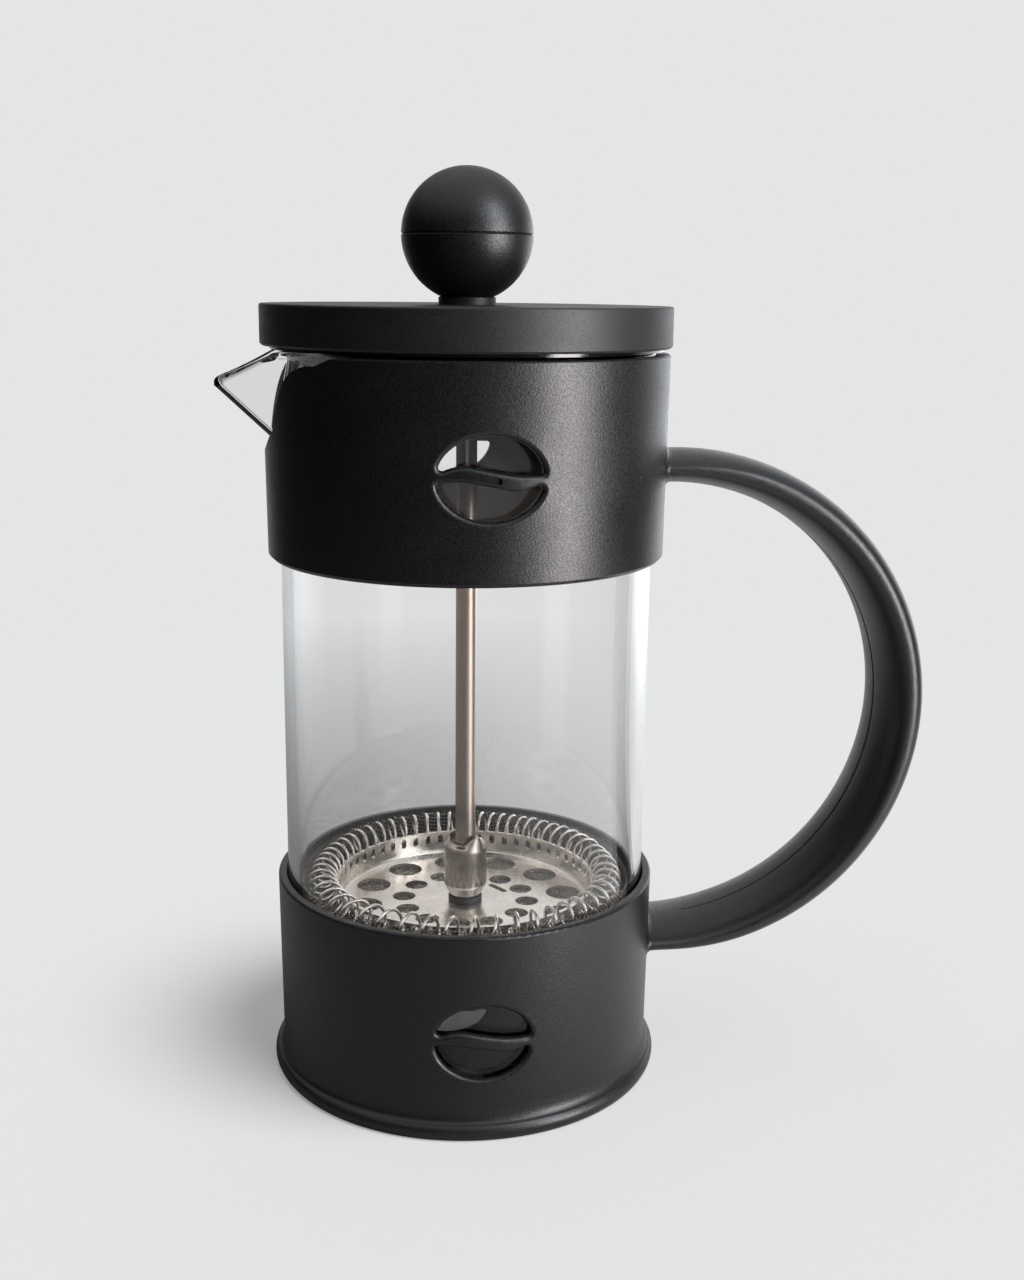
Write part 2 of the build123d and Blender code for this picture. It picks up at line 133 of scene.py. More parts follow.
def bump(tree, height, strength, distance, below=None):
    """A normal bent by a height in metres, over another bump if one is given."""
    node = tree.nodes.new("ShaderNodeBump")
    node.inputs["Strength"].default_value = strength
    node.inputs["Distance"].default_value = distance
    tree.links.new(height, node.inputs["Height"])
    if below is not None:
        tree.links.new(below, node.inputs["Normal"])
    return node.outputs["Normal"]


# ------------------------------------------------------------------ materials
EVEN = (1.0, 1.0, 1.0)
GRAIN_GLOSS = 0.07
MOTTLE_SCALE = 90.0
MOTTLE_GLOSS = 0.03
MOTTLE_DEPTH = 0.0001
SCUFF_SCALE = 420.0
TARNISH_SCALE = 150.0
PLASTIC_IOR = 1.52
GLASS_IOR = 1.47
GLASS_COLOUR = (0.985, 0.988, 0.987, 1.0)
WAVE_SCALE = 60.0
WAVE_DEPTH = 0.0002
SMEAR_SCALE = 110.0
SMEAR_ROUGHNESS = 0.035


def moulded_plastic(name, colour, roughness, grain_size, grain_depth, stretch=EVEN):
    """Black moulded plastic: a spark-eroded grain and faint flow mottling."""
    material, tree, shader = new_material(name)
    coords = object_coords(tree, stretch)
    grain = noise_value(tree, coords, 1.0 / grain_size, 2.0, 0.7)
    mottle = noise_value(tree, coords, MOTTLE_SCALE, 3.0, 0.55)
    smooth = remap(tree, mottle, roughness - MOTTLE_GLOSS, roughness + MOTTLE_GLOSS)
    speckle = remap(tree, grain, -GRAIN_GLOSS, GRAIN_GLOSS)
    tree.links.new(calculate(tree, "ADD", smooth, speckle), shader.inputs["Roughness"])
    lighter = tuple(c * 1.6 + 0.001 for c in colour)
    tree.links.new(colour_mix(tree, grain, colour, lighter, 0.35, 0.75), shader.inputs["Base Color"])
    fine = bump(tree, grain, 0.6, grain_depth)
    wave = bump(tree, mottle, 0.2, MOTTLE_DEPTH, fine)
    tree.links.new(wave, shader.inputs["Normal"])
    shader.inputs["IOR"].default_value = PLASTIC_IOR
    return material


def worked_steel(name, colour, roughness, stretch, line_size, line_depth, stain):
    """Stainless steel with fine lines along one way, small scuffs and soft tarnish."""
    material, tree, shader = new_material(name)
    lines = noise_value(tree, object_coords(tree, stretch), 1.0 / line_size, 3.0, 0.6)
    scuffs = noise_value(tree, object_coords(tree, stretch), SCUFF_SCALE, 3.0, 0.6)
    tarnish = noise_value(tree, object_coords(tree, EVEN), TARNISH_SCALE, 3.0, 0.6)
    darker = tuple(c * (1.0 - stain) for c in colour)
    tree.links.new(colour_mix(tree, tarnish, darker, colour, 0.35, 0.6), shader.inputs["Base Color"])
    tree.links.new(remap(tree, scuffs, roughness * 0.8, roughness * 1.3), shader.inputs["Roughness"])
    tree.links.new(bump(tree, lines, 0.35, line_depth), shader.inputs["Normal"])
    shader.inputs["Metallic"].default_value = 1.0
    return material


RUN_UP = (1.0, 1.0, 0.02)
TURNED = (1.0, 1.0, 0.10)
ACROSS = (1.0, 1.0, 2.2)

holder_plastic = moulded_plastic("holder_plastic", (0.0044, 0.0041, 0.0045), 0.37, 0.00038, 0.000080)
lid_plastic = moulded_plastic("lid_plastic", (0.0046, 0.0044, 0.0048), 0.49, 0.00036, 0.000060, ACROSS)
knob_plastic = moulded_plastic("knob_plastic", (0.0038, 0.0038, 0.0044), 0.40, 0.00038, 0.000065)
liner_plastic = moulded_plastic("liner_plastic", (0.0050, 0.0050, 0.0055), 0.12, 0.00040, 0.00002)
washer_rubber = moulded_plastic("washer_rubber", (0.012, 0.011, 0.010), 0.6, 0.0003, 0.00002)
rod_steel = worked_steel("rod_steel", (0.66, 0.585, 0.52), 0.21, RUN_UP, 0.00025, 0.000004, 0.05)
hub_steel = worked_steel("hub_steel", (0.64, 0.60, 0.56), 0.22, TURNED, 0.00045, 0.000045, 0.50)
plate_steel = worked_steel("plate_steel", (0.97, 0.93, 0.87), 0.23, EVEN, 0.00070, 0.000005, 0.12)
coil_wire = worked_steel("coil_wire", (0.95, 0.92, 0.88), 0.22, EVEN, 0.00030, 0.000004, 0.15)
# The gauze's steel is painted much darker than the plate's: painted shade for its place under the plate,
# with random tarnish on top.
screen_wire_painted_shade = worked_steel("screen_wire_painted_shade", (0.34, 0.315, 0.28), 0.35, EVEN, 0.00030, 0.000005, 0.25)
insert_brass = worked_steel("insert_brass", (0.72, 0.54, 0.27), 0.25, TURNED, 0.00030, 0.00001, 0.2)


def beaker_glass_material():
    """Clear drawn glass: faint grey-green body, very slight drawing waves, a few faint smears."""
    material, tree, shader = new_material("beaker_glass")
    coords = object_coords(tree, (1.0, 1.0, 0.15))
    waves = noise_value(tree, coords, WAVE_SCALE, 2.0, 0.5)
    tree.links.new(bump(tree, waves, 0.05, WAVE_DEPTH), shader.inputs["Normal"])
    smears = noise_value(tree, object_coords(tree, (1.0, 1.0, 0.5)), SMEAR_SCALE, 4.0, 0.6)
    tree.links.new(remap(tree, smears, 0.0, SMEAR_ROUGHNESS, 0.5, 0.75), shader.inputs["Roughness"])
    shader.inputs["Base Color"].default_value = GLASS_COLOUR
    shader.inputs["Transmission Weight"].default_value = 1.0
    shader.inputs["IOR"].default_value = GLASS_IOR
    return material


beaker_glass = beaker_glass_material()

NODE_MATERIALS = {
    "base_cup": holder_plastic,
    "upper_band": holder_plastic,
    "handle": holder_plastic,
    "lid_cap": lid_plastic,
    "lid_liner": liner_plastic,
    "rod_bushing": lid_plastic,
    "knob_lower": knob_plastic,
    "knob_upper": knob_plastic,
    "knob_insert": insert_brass,
    "plunger_rod": rod_steel,
    "hub_washer": washer_rubber,
    "spring_plate": plate_steel,
    "cross_plate": plate_steel,
    "retaining_nut": hub_steel,
}
for node_name, node_material in NODE_MATERIALS.items():
    for material_slot in frame["nodes"][node_name].material_slots:
        material_slot.material = node_material


# ------------------------------------------------------------------ mesh building blocks
def add_piece(name, vertices, faces, material, body, node, sharp_angle=None):
    """A smooth-shaded mesh piece in metres that rides a body and stands for a CAD node."""
    mesh = bpy.data.meshes.new(name)
    mesh.from_pydata([tuple(v) for v in vertices], [], faces)
    work = bmesh.new()
    work.from_mesh(mesh)
    bmesh.ops.recalc_face_normals(work, faces=work.faces)
    work.to_mesh(mesh)
    work.free()
    mesh.shade_smooth()
    if sharp_angle is not None:
        mesh.set_sharp_from_angle(angle=math.radians(sharp_angle))
    piece = bpy.data.objects.new(name, mesh)
    bpy.context.scene.collection.objects.link(piece)
    mesh.materials.append(material)
    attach(piece, body)
    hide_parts(node)
    return piece


def around_axis(radius, turn, height):
    """A point in metres from its distance to the axis, its turn and its height in millimetres."""
    return Vector((radius * math.cos(turn), radius * math.sin(turn), height)) * MM


def grid_faces(rows, columns, close_rows=False, start=0):
    """Quads over rows of vertices that each close on themselves, as the rows may do as well."""
    faces = []
    for i in range(rows if close_rows else rows - 1):
        for j in range(columns):
            a = start + i * columns + j
            b = start + i * columns + (j + 1) % columns
            c = start + ((i + 1) % rows) * columns + (j + 1) % columns
            d = start + ((i + 1) % rows) * columns + j
            faces.append((a, b, c, d))
    return faces


# ------------------------------------------------------------------ glass beaker
GLASS_RADIUS = 35.0
GLASS_WALL = 1.9
GLASS_BORE = GLASS_RADIUS - GLASS_WALL
GLASS_BASE = 3.0
GLASS_FLOOR = 5.2
GLASS_HEEL = 6.0
GLASS_INNER_HEEL = 4.2
GLASS_RIM = 140.3
RIM_ROUND = 0.85
RIM_FULLNESS = 2.4
FLAT_FLOOR_SHARE = 0.86
PLAIN_WALL_START = 12.0
SPOUT_START = 112.0
SPOUT_HALF_ANGLE = math.radians(36.0)
SPOUT_LEAN = 1.067
SPOUT_FOOT_HEIGHT = 124.3
SPOUT_FOOT_REACH = 38.2
SPOUT_WALL_IN_PLAN = 3.4
SPOUT_LIP_SLOPE = 0.54
SPOUT_TIP_RADIUS = 2.4
SPOUT_INNER_TIP_RADIUS = 0.9
SPOUT_LEAST_REACH = 20.0
SPOUT_BLEND = 1.1
SPOUT_WIDEST_TURN = math.radians(40.0)
LIP_WIDEST_TURN = math.radians(60.0)
LIP_START = 0.2
SPOUT_ROWS = 56
RIM_ROWS = 10


def smooth_greater(a, b, width):
    """The greater of two values, rounded over where they meet."""
    overlap = max(width - abs(a - b), 0.0) / width
    return max(a, b) + overlap * overlap * width * 0.25


def wedge_reach(turn, tip, tip_radius):
    """Distance from the axis to the spout's V at a turn from the spout's middle."""
    turn = abs(turn)
    centre = tip - tip_radius / math.sin(SPOUT_HALF_ANGLE)
    touch_x = centre + tip_radius * math.sin(SPOUT_HALF_ANGLE)
    touch_y = tip_radius * math.cos(SPOUT_HALF_ANGLE)
    if turn < math.atan2(touch_y, touch_x):
        across = centre * math.sin(turn)
        return centre * math.cos(turn) + math.sqrt(max(tip_radius**2 - across * across, 0.0))
    return tip * math.sin(SPOUT_HALF_ANGLE) / math.sin(SPOUT_HALF_ANGLE + turn)


def wall_radius(turn, height, inside):
    """Radius of the glass's outer or inner wall, with the spout in it."""
    radius = GLASS_BORE if inside else GLASS_RADIUS
    if abs(turn) > SPOUT_WIDEST_TURN or height < SPOUT_START:
        return radius
    tip = SPOUT_FOOT_REACH + SPOUT_LEAN * (height - SPOUT_FOOT_HEIGHT)
    tip_radius = SPOUT_INNER_TIP_RADIUS if inside else SPOUT_TIP_RADIUS
    if inside:
        tip -= SPOUT_WALL_IN_PLAN
    if tip < SPOUT_LEAST_REACH:
        return radius
    return smooth_greater(radius, wedge_reach(turn, tip, tip_radius), SPOUT_BLEND)


def glass_turns():
    """Turns from the spout's middle: every half degree near the spout, every two degrees elsewhere."""
    near = [math.radians(0.5 * k) for k in range(-50, 51)]
    far = [math.radians(25.0 + 310.0 * k / 150) for k in range(1, 150)]
    return near + far


def lip_height(turn, radius):
    """Height of the rim, which falls towards the spout's tip."""
    reach = radius * math.cos(turn)
    folded = (turn + math.pi) % (2 * math.pi) - math.pi
    if abs(folded) > LIP_WIDEST_TURN:
        return GLASS_RIM
    return GLASS_RIM - SPOUT_LIP_SLOPE * max(reach - GLASS_RADIUS - LIP_START, 0.0)


def rim_heights(turn):
    """Heights of the rim's outer and inner edges, found by following the leaning spout up to the lip."""
    inner = wall_radius(turn, GLASS_RIM, True)
    outer = wall_radius(turn, GLASS_RIM, False)
    for _ in range(3):
        top = lip_height(turn, (inner + outer) / 2)
        inner = wall_radius(turn, top, True)
        outer = wall_radius(turn, top, False)
    return lip_height(turn, outer), lip_height(turn, inner)


def corner_rows(centre_radius, centre_height, radius, degrees):
    """Pairs of radius and height along a round corner."""
    angles = [math.radians(degree) for degree in degrees]
    return [(centre_radius + radius * math.cos(a), centre_height + radius * math.sin(a)) for a in angles]


def beaker_rows(turns):
    """Rows of radius and height, a pair for each turn, up the inside, over the rim and down the outside."""
    tops = [rim_heights(turn) for turn in turns]
    plain_walls = [PLAIN_WALL_START + (SPOUT_START - PLAIN_WALL_START) * k / 8 for k in range(9)]
    plain = [(GLASS_BORE * FLAT_FLOOR_SHARE * k / 6, GLASS_FLOOR) for k in range(1, 7)]
    inner_corner = (GLASS_BORE - GLASS_INNER_HEEL, GLASS_FLOOR + GLASS_INNER_HEEL, GLASS_INNER_HEEL)
    plain += corner_rows(*inner_corner, [-90 + 90 * k / 8 for k in range(9)])
    plain += [(GLASS_BORE, height) for height in plain_walls]
    rows = [[pair] * len(turns) for pair in plain]

    def spout_row(k, inside):
        row = []
        for turn, (outer_top, inner_top) in zip(turns, tops):
            top = (inner_top if inside else outer_top) - RIM_ROUND
            height = SPOUT_START + (top - SPOUT_START) * k / SPOUT_ROWS
            row.append((wall_radius(turn, height, inside), height))
        return row

    def rim_row(share):
        row = []
        for turn, (outer_top, inner_top) in zip(turns, tops):
            inner = wall_radius(turn, inner_top - RIM_ROUND, True)
            outer = wall_radius(turn, outer_top - RIM_ROUND, False)
            low = (inner_top + (outer_top - inner_top) * share) - RIM_ROUND
            lift = RIM_ROUND * (1 - abs(2 * share - 1) ** RIM_FULLNESS) ** (1 / RIM_FULLNESS)
            across = (1 - math.cos(math.pi * share)) / 2
            row.append((inner + (outer - inner) * across, low + lift))
        return row

    rows += [spout_row(k, True) for k in range(1, SPOUT_ROWS + 1)]
    rows += [rim_row(k / RIM_ROWS) for k in range(1, RIM_ROWS)]
    rows += [spout_row(k, False) for k in range(SPOUT_ROWS, 0, -1)]
    outside = [(GLASS_RADIUS, height) for height in reversed(plain_walls)]
    outer_corner = (GLASS_RADIUS - GLASS_HEEL, GLASS_BASE + GLASS_HEEL, GLASS_HEEL)
    outside += corner_rows(*outer_corner, [-90 * k / 10 for k in range(11)])
    outside += [((GLASS_RADIUS - GLASS_HEEL) * k / 6, GLASS_BASE) for k in range(5, 0, -1)]
    return rows + [[pair] * len(turns) for pair in outside]


def build_beaker():
    """The drawn glass with its folded spout, closed by a fan of faces inside and outside its floor."""
    turns = glass_turns()
    columns = len(turns)
    rows = beaker_rows(turns)
    vertices = [
        around_axis(-radius, turn, height)
        for row in rows
        for turn, (radius, height) in zip(turns, row)
    ]
    faces = grid_faces(len(rows), columns)
    inside = len(vertices)
    outside = inside + 1
    vertices += [around_axis(0.0, 0.0, GLASS_FLOOR), around_axis(0.0, 0.0, GLASS_BASE)]
    last = (len(rows) - 1) * columns
    for j in range(columns):
        faces.append((inside, (j + 1) % columns, j))
        faces.append((outside, last + j, last + (j + 1) % columns))
    beaker = add_piece("beaker", vertices, faces, beaker_glass, "beaker", "glass_beaker")
    beaker.visible_shadow = False


build_beaker()


# ------------------------------------------------------------------ coil spring
COIL_TURNS = 57
COIL_STEPS = 36
COIL_CIRCLE = 28.4
COIL_HEIGHT = 37.0
COIL_RADIUS = 2.75
COIL_SIDES = 8
WIRE_RADIUS = 0.33
FRONT = math.radians(-96.0)
FRONT_SPREAD = 0.21
UNEVEN_SPREAD = 0.03
TURN_WOBBLE = math.radians(0.5)
REACH_WOBBLE = 0.02
HEIGHT_WOBBLE = 0.015


def tube_along(points, radius, sides, closed):
    """Vertices and faces of a round tube, open at its ends, whose middle runs along the points."""
    vertices = []
    count = len(points)
    normal = None
    for k, point in enumerate(points):
        before = points[k - 1] if closed or k else points[0]
        after = points[(k + 1) % count] if closed or k < count - 1 else points[-1]
        along = (after - before).normalized()
        if normal is None:
            normal = along.orthogonal().normalized()
        normal = (normal - along * normal.dot(along)).normalized()
        other = along.cross(normal)
        for side in range(sides):
            angle = 2 * math.pi * side / sides
            vertices.append(point + (normal * math.cos(angle) + other * math.sin(angle)) * radius)
    return vertices, grid_faces(count, sides, close_rows=closed)


def build_coil():
    """One long wire wound round the plate's wall, its turns wider apart at the front."""
    draw = random.Random(11)
    phases = [draw.uniform(-1, 1) for _ in range(COIL_TURNS + 1)]
    phases[-1] = phases[0]
    points = []
    total = COIL_TURNS * COIL_STEPS
    for k in range(total):
        share = k / total
        around = 2 * math.pi * share
        azimuth = FRONT + around + FRONT_SPREAD * math.sin(around)
        azimuth += UNEVEN_SPREAD * math.sin(3 * around + 1.0)
        turn = k / COIL_STEPS
        index = int(turn)
        part = turn - index
        wobble = phases[index] * (1 - part) + phases[index + 1] * part
        azimuth += TURN_WOBBLE * wobble
        swing = 2 * math.pi * turn
        minor = COIL_RADIUS * (1 + REACH_WOBBLE * wobble)
        reach = COIL_CIRCLE + minor * math.cos(swing)
        height = COIL_HEIGHT + minor * math.sin(swing) * (1 + HEIGHT_WOBBLE * wobble)
        points.append(around_axis(reach, azimuth, height))
    vertices, faces = tube_along(points, WIRE_RADIUS * MM, COIL_SIDES, True)
    add_piece("coil_wire", vertices, faces, coil_wire, "plunger", "coil_spring")


build_coil()


# ------------------------------------------------------------------ woven gauze
GAUZE_PITCH = 0.80
GAUZE_WIRE = 0.13
GAUZE_RADIUS = 32.25
GAUZE_LEVEL = 30.95
GAUZE_TOP = 39.0
GAUZE_BEND = 4.5
GAUZE_FLAT = GAUZE_RADIUS - GAUZE_BEND
GAUZE_ARC = GAUZE_BEND * math.pi / 2
GAUZE_SPAN = GAUZE_FLAT + GAUZE_ARC + (GAUZE_TOP - GAUZE_LEVEL - GAUZE_BEND)
HUB_CLEAR = 3.6


def gauze_point(along, across, lift):
    """Where a point of the flat weave ends up when the disc's rim is curled up."""
    reach = math.hypot(along, across)
    unit = (along / max(reach, 1e-9), across / max(reach, 1e-9))
    if reach <= GAUZE_FLAT:
        radius, height, out, up = reach, GAUZE_LEVEL, 0.0, 1.0
    elif reach <= GAUZE_FLAT + GAUZE_ARC:
        angle = (reach - GAUZE_FLAT) / GAUZE_BEND
        radius = GAUZE_FLAT + GAUZE_BEND * math.sin(angle)
        height = GAUZE_LEVEL + GAUZE_BEND * (1 - math.cos(angle))
        out, up = -math.sin(angle), math.cos(angle)
    else:
        radius = GAUZE_RADIUS
        height = GAUZE_LEVEL + GAUZE_BEND + (reach - GAUZE_FLAT - GAUZE_ARC)
        out, up = -1.0, 0.0
    radius += out * lift
    height += up * lift
    return Vector((unit[0] * radius, unit[1] * radius, height)) * MM


def build_gauze():
    """Two sets of crossing wires, each over and under the other, cut as a disc and curled up."""
    vertices = []
    faces = []
    count = int(GAUZE_SPAN / GAUZE_PITCH)
    step = GAUZE_PITCH / 2
    for crossing in (0, 1):
        for line in range(-count, count + 1):
            offset = line * GAUZE_PITCH
            half = math.sqrt(max(GAUZE_SPAN**2 - offset * offset, 0.0))
            runs = [(-half, half)]
            if abs(offset) < HUB_CLEAR:
                gap = math.sqrt(HUB_CLEAR**2 - offset * offset)
                runs = [(-half, -gap), (gap, half)]
            for low, high in runs:
                steps = max(2, int(round((high - low) / step)))
                points = []
                for k in range(steps + 1):
                    place = low + (high - low) * k / steps
                    phase = math.pi * place / GAUZE_PITCH + math.pi * (line + crossing)
                    lift = GAUZE_WIRE * 0.5 * math.cos(phase)
                    pair = (place, offset) if crossing == 0 else (offset, place)
                    points.append(gauze_point(*pair, lift))
                more, quads = tube_along(points, GAUZE_WIRE * MM, 3, False)
                start = len(vertices)
                vertices.extend(more)
                faces.extend(tuple(start + i for i in quad) for quad in quads)
    add_piece("gauze", vertices, faces, screen_wire_painted_shade, "plunger", "mesh_screen")


build_gauze()


# ------------------------------------------------------------------ hub with its crimped collar
HUB_BORE = 2.05
HUB_PROFILE = [
    (HUB_BORE, 33.0),
    (3.00, 33.0),
    (3.15, 33.15),
    (3.35, 33.6),
    (4.05, 35.0),
    (4.22, 35.35),
    (4.25, 35.7),
    (4.25, 38.0),
    (4.25, 40.5),
    (4.25, 42.6),
    (4.22, 43.0),
    (4.10, 43.35),
]
HUB_SEAT = 43.0
HUB_COLUMNS = 96
PETAL_FRONT = math.radians(-51.0)
PETAL_SHEET = 0.45
PETAL_STEPS = 8
PETAL_FULLNESS = 0.8
GAP_LIFT, PETAL_LIFT = 0.7, 1.5
GAP_FOLD, PETAL_FOLD = 1.35, 0.75
FOLD_CURVE = 1.4
PETAL_BELLY = 0.10
PETAL_DROP = 0.25


def crimp_row(share, inset, turns):
    """A row of the crimped edge: share runs from the hub to the tips, inset goes through the sheet."""
    edge_radius, edge_height = HUB_PROFILE[-1]
    row = []
    for turn in turns:
        petal = max(0.0, math.cos(2 * (turn - PETAL_FRONT))) ** PETAL_FULLNESS
        fold = (GAP_FOLD - PETAL_FOLD * petal) * share**FOLD_CURVE
        belly = PETAL_BELLY * petal * math.sin(math.pi * share)
        lift = (GAP_LIFT + PETAL_LIFT * petal) * math.sin(share * math.pi / 2)
        height = edge_height + lift - inset * PETAL_DROP * share
        row.append(around_axis(edge_radius - fold - inset - belly, turn, height))
    return row


def build_hub():
    """A turned hub whose upper edge is crimped over the rod in two petals."""
    turns = [2 * math.pi * j / HUB_COLUMNS for j in range(HUB_COLUMNS)]
    rows = [[around_axis(radius, turn, height) for turn in turns] for radius, height in HUB_PROFILE]
    rows += [crimp_row(k / PETAL_STEPS, 0.0, turns) for k in range(1, PETAL_STEPS + 1)]
    rows += [crimp_row(1.0 - k / PETAL_STEPS, PETAL_SHEET, turns) for k in range(PETAL_STEPS)]
    rows.append([around_axis(HUB_BORE, turn, HUB_SEAT) for turn in turns])
    vertices = [vertex for row in rows for vertex in row]
    faces = grid_faces(len(rows), HUB_COLUMNS, close_rows=True)
    add_piece("hub", vertices, faces, hub_steel, "plunger", "rod_hub", 50.0)


build_hub()


# ------------------------------------------------------------------ loop handle with its parting groove
HANDLE_CENTRE = (39.6, 71.3)
HANDLE_RADIUS = 47.4
HANDLE_HALF_WIDTH = 10.6
HANDLE_THICKNESS = (3.1, 4.1, 2.7)
ROOT_FULLNESS = 2.0
HANDLE_FULLNESS = 2.25
FULLNESS_BLEND = math.radians(18.0)
HANDLE_ROWS = 180
GROOVE_HALF_WIDTH = 0.32
GROOVE_DEPTH = 0.34
GROOVE_START = math.radians(5.0)


def handle_half_thickness(share):
    """Half the handle's thickness at a share of its length, from its top root down."""
    turn = 1 - 2 * share
    top, middle, bottom = HANDLE_THICKNESS
    return middle * (1 - turn * turn) + top * turn * (turn + 1) / 2 + bottom * turn * (turn - 1) / 2


def handle_section_turns():
    """Turns round the handle's section, close together across the groove on the inner face."""
    coarse = [5.0 * k for k in range(-34, 35)]
    fine = [174.0, 177.0, 178.0, 178.6, 179.0, 179.5]
    turns = [-180.0] + [-180.0 + (180.0 - f) for f in reversed(fine)] + coarse + fine
    return [math.radians(t) for t in turns]


def build_handle():
    """A full oval swept round a half circle, with a fine groove along the middle of its inner face."""
    turns = handle_section_turns()
    columns = len(turns)
    vertices = []
    for k in range(HANDLE_ROWS + 1):
        share = k / HANDLE_ROWS
        angle = math.pi / 2 - math.pi * share
        half = handle_half_thickness(share)
        from_end = min(share, 1 - share) * math.pi
        deep = GROOVE_DEPTH * min(1.0, max(0.0, (from_end - GROOVE_START) / GROOVE_START))
        blend = min(1.0, from_end / FULLNESS_BLEND)
        blend = blend * blend * (3 - 2 * blend)
        power = 2 / (ROOT_FULLNESS + (HANDLE_FULLNESS - ROOT_FULLNESS) * blend)
        for turn in turns:
            cosine, sine = math.cos(turn), math.sin(turn)
            out = half * math.copysign(abs(cosine) ** power, cosine)
            across = HANDLE_HALF_WIDTH * math.copysign(abs(sine) ** power, sine)
            if cosine < 0:
                out += deep * max(0.0, 1 - (across / GROOVE_HALF_WIDTH) ** 2)
            reach = HANDLE_RADIUS + out
            x = HANDLE_CENTRE[0] + reach * math.cos(angle)
            z = HANDLE_CENTRE[1] + reach * math.sin(angle)
            vertices.append(Vector((x, across, z)) * MM)
    faces = grid_faces(HANDLE_ROWS + 1, columns)
    faces.append(tuple(range(columns)))
    faces.append(tuple(HANDLE_ROWS * columns + j for j in reversed(range(columns))))
    add_piece("loop_handle", vertices, faces, holder_plastic, "holder", "handle", 35.0)


build_handle()


# ------------------------------------------------------------------ stage: floor, world, lights, camera
BACKDROP = (0.784, 0.784, 0.784, 1.0)
FLOOR_RINGS = (0.05, 0.1, 0.2, 0.4, 0.8, 1.6)
FLOOR_COLUMNS = 96
FLOOR_ALBEDO = 0.36
FLOOR_ROUGHNESS = 0.9
FLOOR_GLOW = 0.30
FLOOR_FADE = (0.13, 0.42)
# Painted light on the floor as surfaces mirror it: a darker colour on the left as painted shade, a lighter
# one on the right as a painted pool of window light, blended over the span in X below, and halved as painted
# shade inside the glass.
FLOOR_MIRRORED_PAINTED_SHADE_LEFT = 0.13
FLOOR_MIRRORED_PAINTED_LIGHT_RIGHT = 0.54
FLOOR_MIRRORED_SPAN = (-0.02, 0.12)
FLOOR_MIRRORED_PAINTED_SHADE_IN_GLASS = 0.50


def seen_directly(tree, path):
    """One for what the viewer sees straight or through glass, nought for what a surface mirrors."""
    bounces = calculate(tree, "ADD", path.outputs["Glossy Depth"], path.outputs["Diffuse Depth"])
    unbounced = calculate(tree, "LESS_THAN", bounces, 0.5)
    through = calculate(tree, "MULTIPLY", path.outputs["Is Transmission Ray"], unbounced)
    return calculate(tree, "MAXIMUM", path.outputs["Is Camera Ray"], through)


def floor_material():
    """A pale matt floor that fades into the surround and shows dimmer in what mirrors it, where its colour
    is painted: painted shade on the left and inside the glass, a painted pool of window light on the right.
    """
    material, tree, shader = new_material("pale_floor")
    shader.inputs["Roughness"].default_value = FLOOR_ROUGHNESS
    shader.inputs["Specular IOR Level"].default_value = 0.0
    output = next(n for n in tree.nodes if n.type == "OUTPUT_MATERIAL")
    path = tree.nodes.new("ShaderNodeLightPath")
    coords = tree.nodes.new("ShaderNodeTexCoord")
    parts = tree.nodes.new("ShaderNodeSeparateXYZ")
    tree.links.new(coords.outputs["Object"], parts.inputs["Vector"])
    # Painted light: the mirrored floor is darker to the left, lighter to the right and dimmer inside the
    # glass, standing in for the window's light and the room's shade.
    across = remap(tree, parts.outputs["X"], FLOOR_MIRRORED_PAINTED_SHADE_LEFT, FLOOR_MIRRORED_PAINTED_LIGHT_RIGHT, *FLOOR_MIRRORED_SPAN)
    in_glass = remap(tree, path.outputs["Transmission Depth"], 1.0, FLOOR_MIRRORED_PAINTED_SHADE_IN_GLASS, 0.0, 1.0)
    mirrored = calculate(tree, "MULTIPLY", across, in_glass)
    glossy = path.outputs["Is Glossy Ray"]
    plain = remap(tree, glossy, FLOOR_ALBEDO, 0.0, 0.0, 1.0)
    albedo = calculate(tree, "ADD", plain, calculate(tree, "MULTIPLY", glossy, mirrored))
    tree.links.new(albedo, shader.inputs["Base Color"])
    glow = tree.nodes.new("ShaderNodeEmission")
    glow.inputs["Color"].default_value = BACKDROP
    soften = tree.nodes.new("ShaderNodeMixShader")
    share = calculate(tree, "MULTIPLY", seen_directly(tree, path), FLOOR_GLOW)
    tree.links.new(share, soften.inputs["Fac"])
    tree.links.new(shader.outputs["BSDF"], soften.inputs[1])
    tree.links.new(glow.outputs["Emission"], soften.inputs[2])
    length = tree.nodes.new("ShaderNodeVectorMath")
    length.operation = "LENGTH"
    tree.links.new(coords.outputs["Object"], length.inputs[0])
    fade = remap(tree, length.outputs["Value"], 0.0, 1.0, *FLOOR_FADE)
    clear = tree.nodes.new("ShaderNodeBsdfTransparent")
    mix = tree.nodes.new("ShaderNodeMixShader")
    tree.links.new(fade, mix.inputs["Fac"])
    tree.links.new(soften.outputs["Shader"], mix.inputs[1])
    tree.links.new(clear.outputs["BSDF"], mix.inputs[2])
    tree.links.new(mix.outputs["Shader"], output.inputs["Surface"])
    return material


def build_floor():
    """A round floor in rings."""
    vertices = [(0.0, 0.0, 0.0)]
    for radius in FLOOR_RINGS:
        for j in range(FLOOR_COLUMNS):
            turn = 2 * math.pi * j / FLOOR_COLUMNS
            vertices.append((radius * math.cos(turn), radius * math.sin(turn), 0.0))
    faces = [(0, 1 + j, 1 + (j + 1) % FLOOR_COLUMNS) for j in range(FLOOR_COLUMNS)]
    faces += grid_faces(len(FLOOR_RINGS), FLOOR_COLUMNS, start=1)
    mesh = bpy.data.meshes.new("floor")
    mesh.from_pydata(vertices, [], faces)
    mesh.materials.append(floor_material())
    floor = bpy.data.objects.new("floor", mesh)
    bpy.context.scene.collection.objects.link(floor)


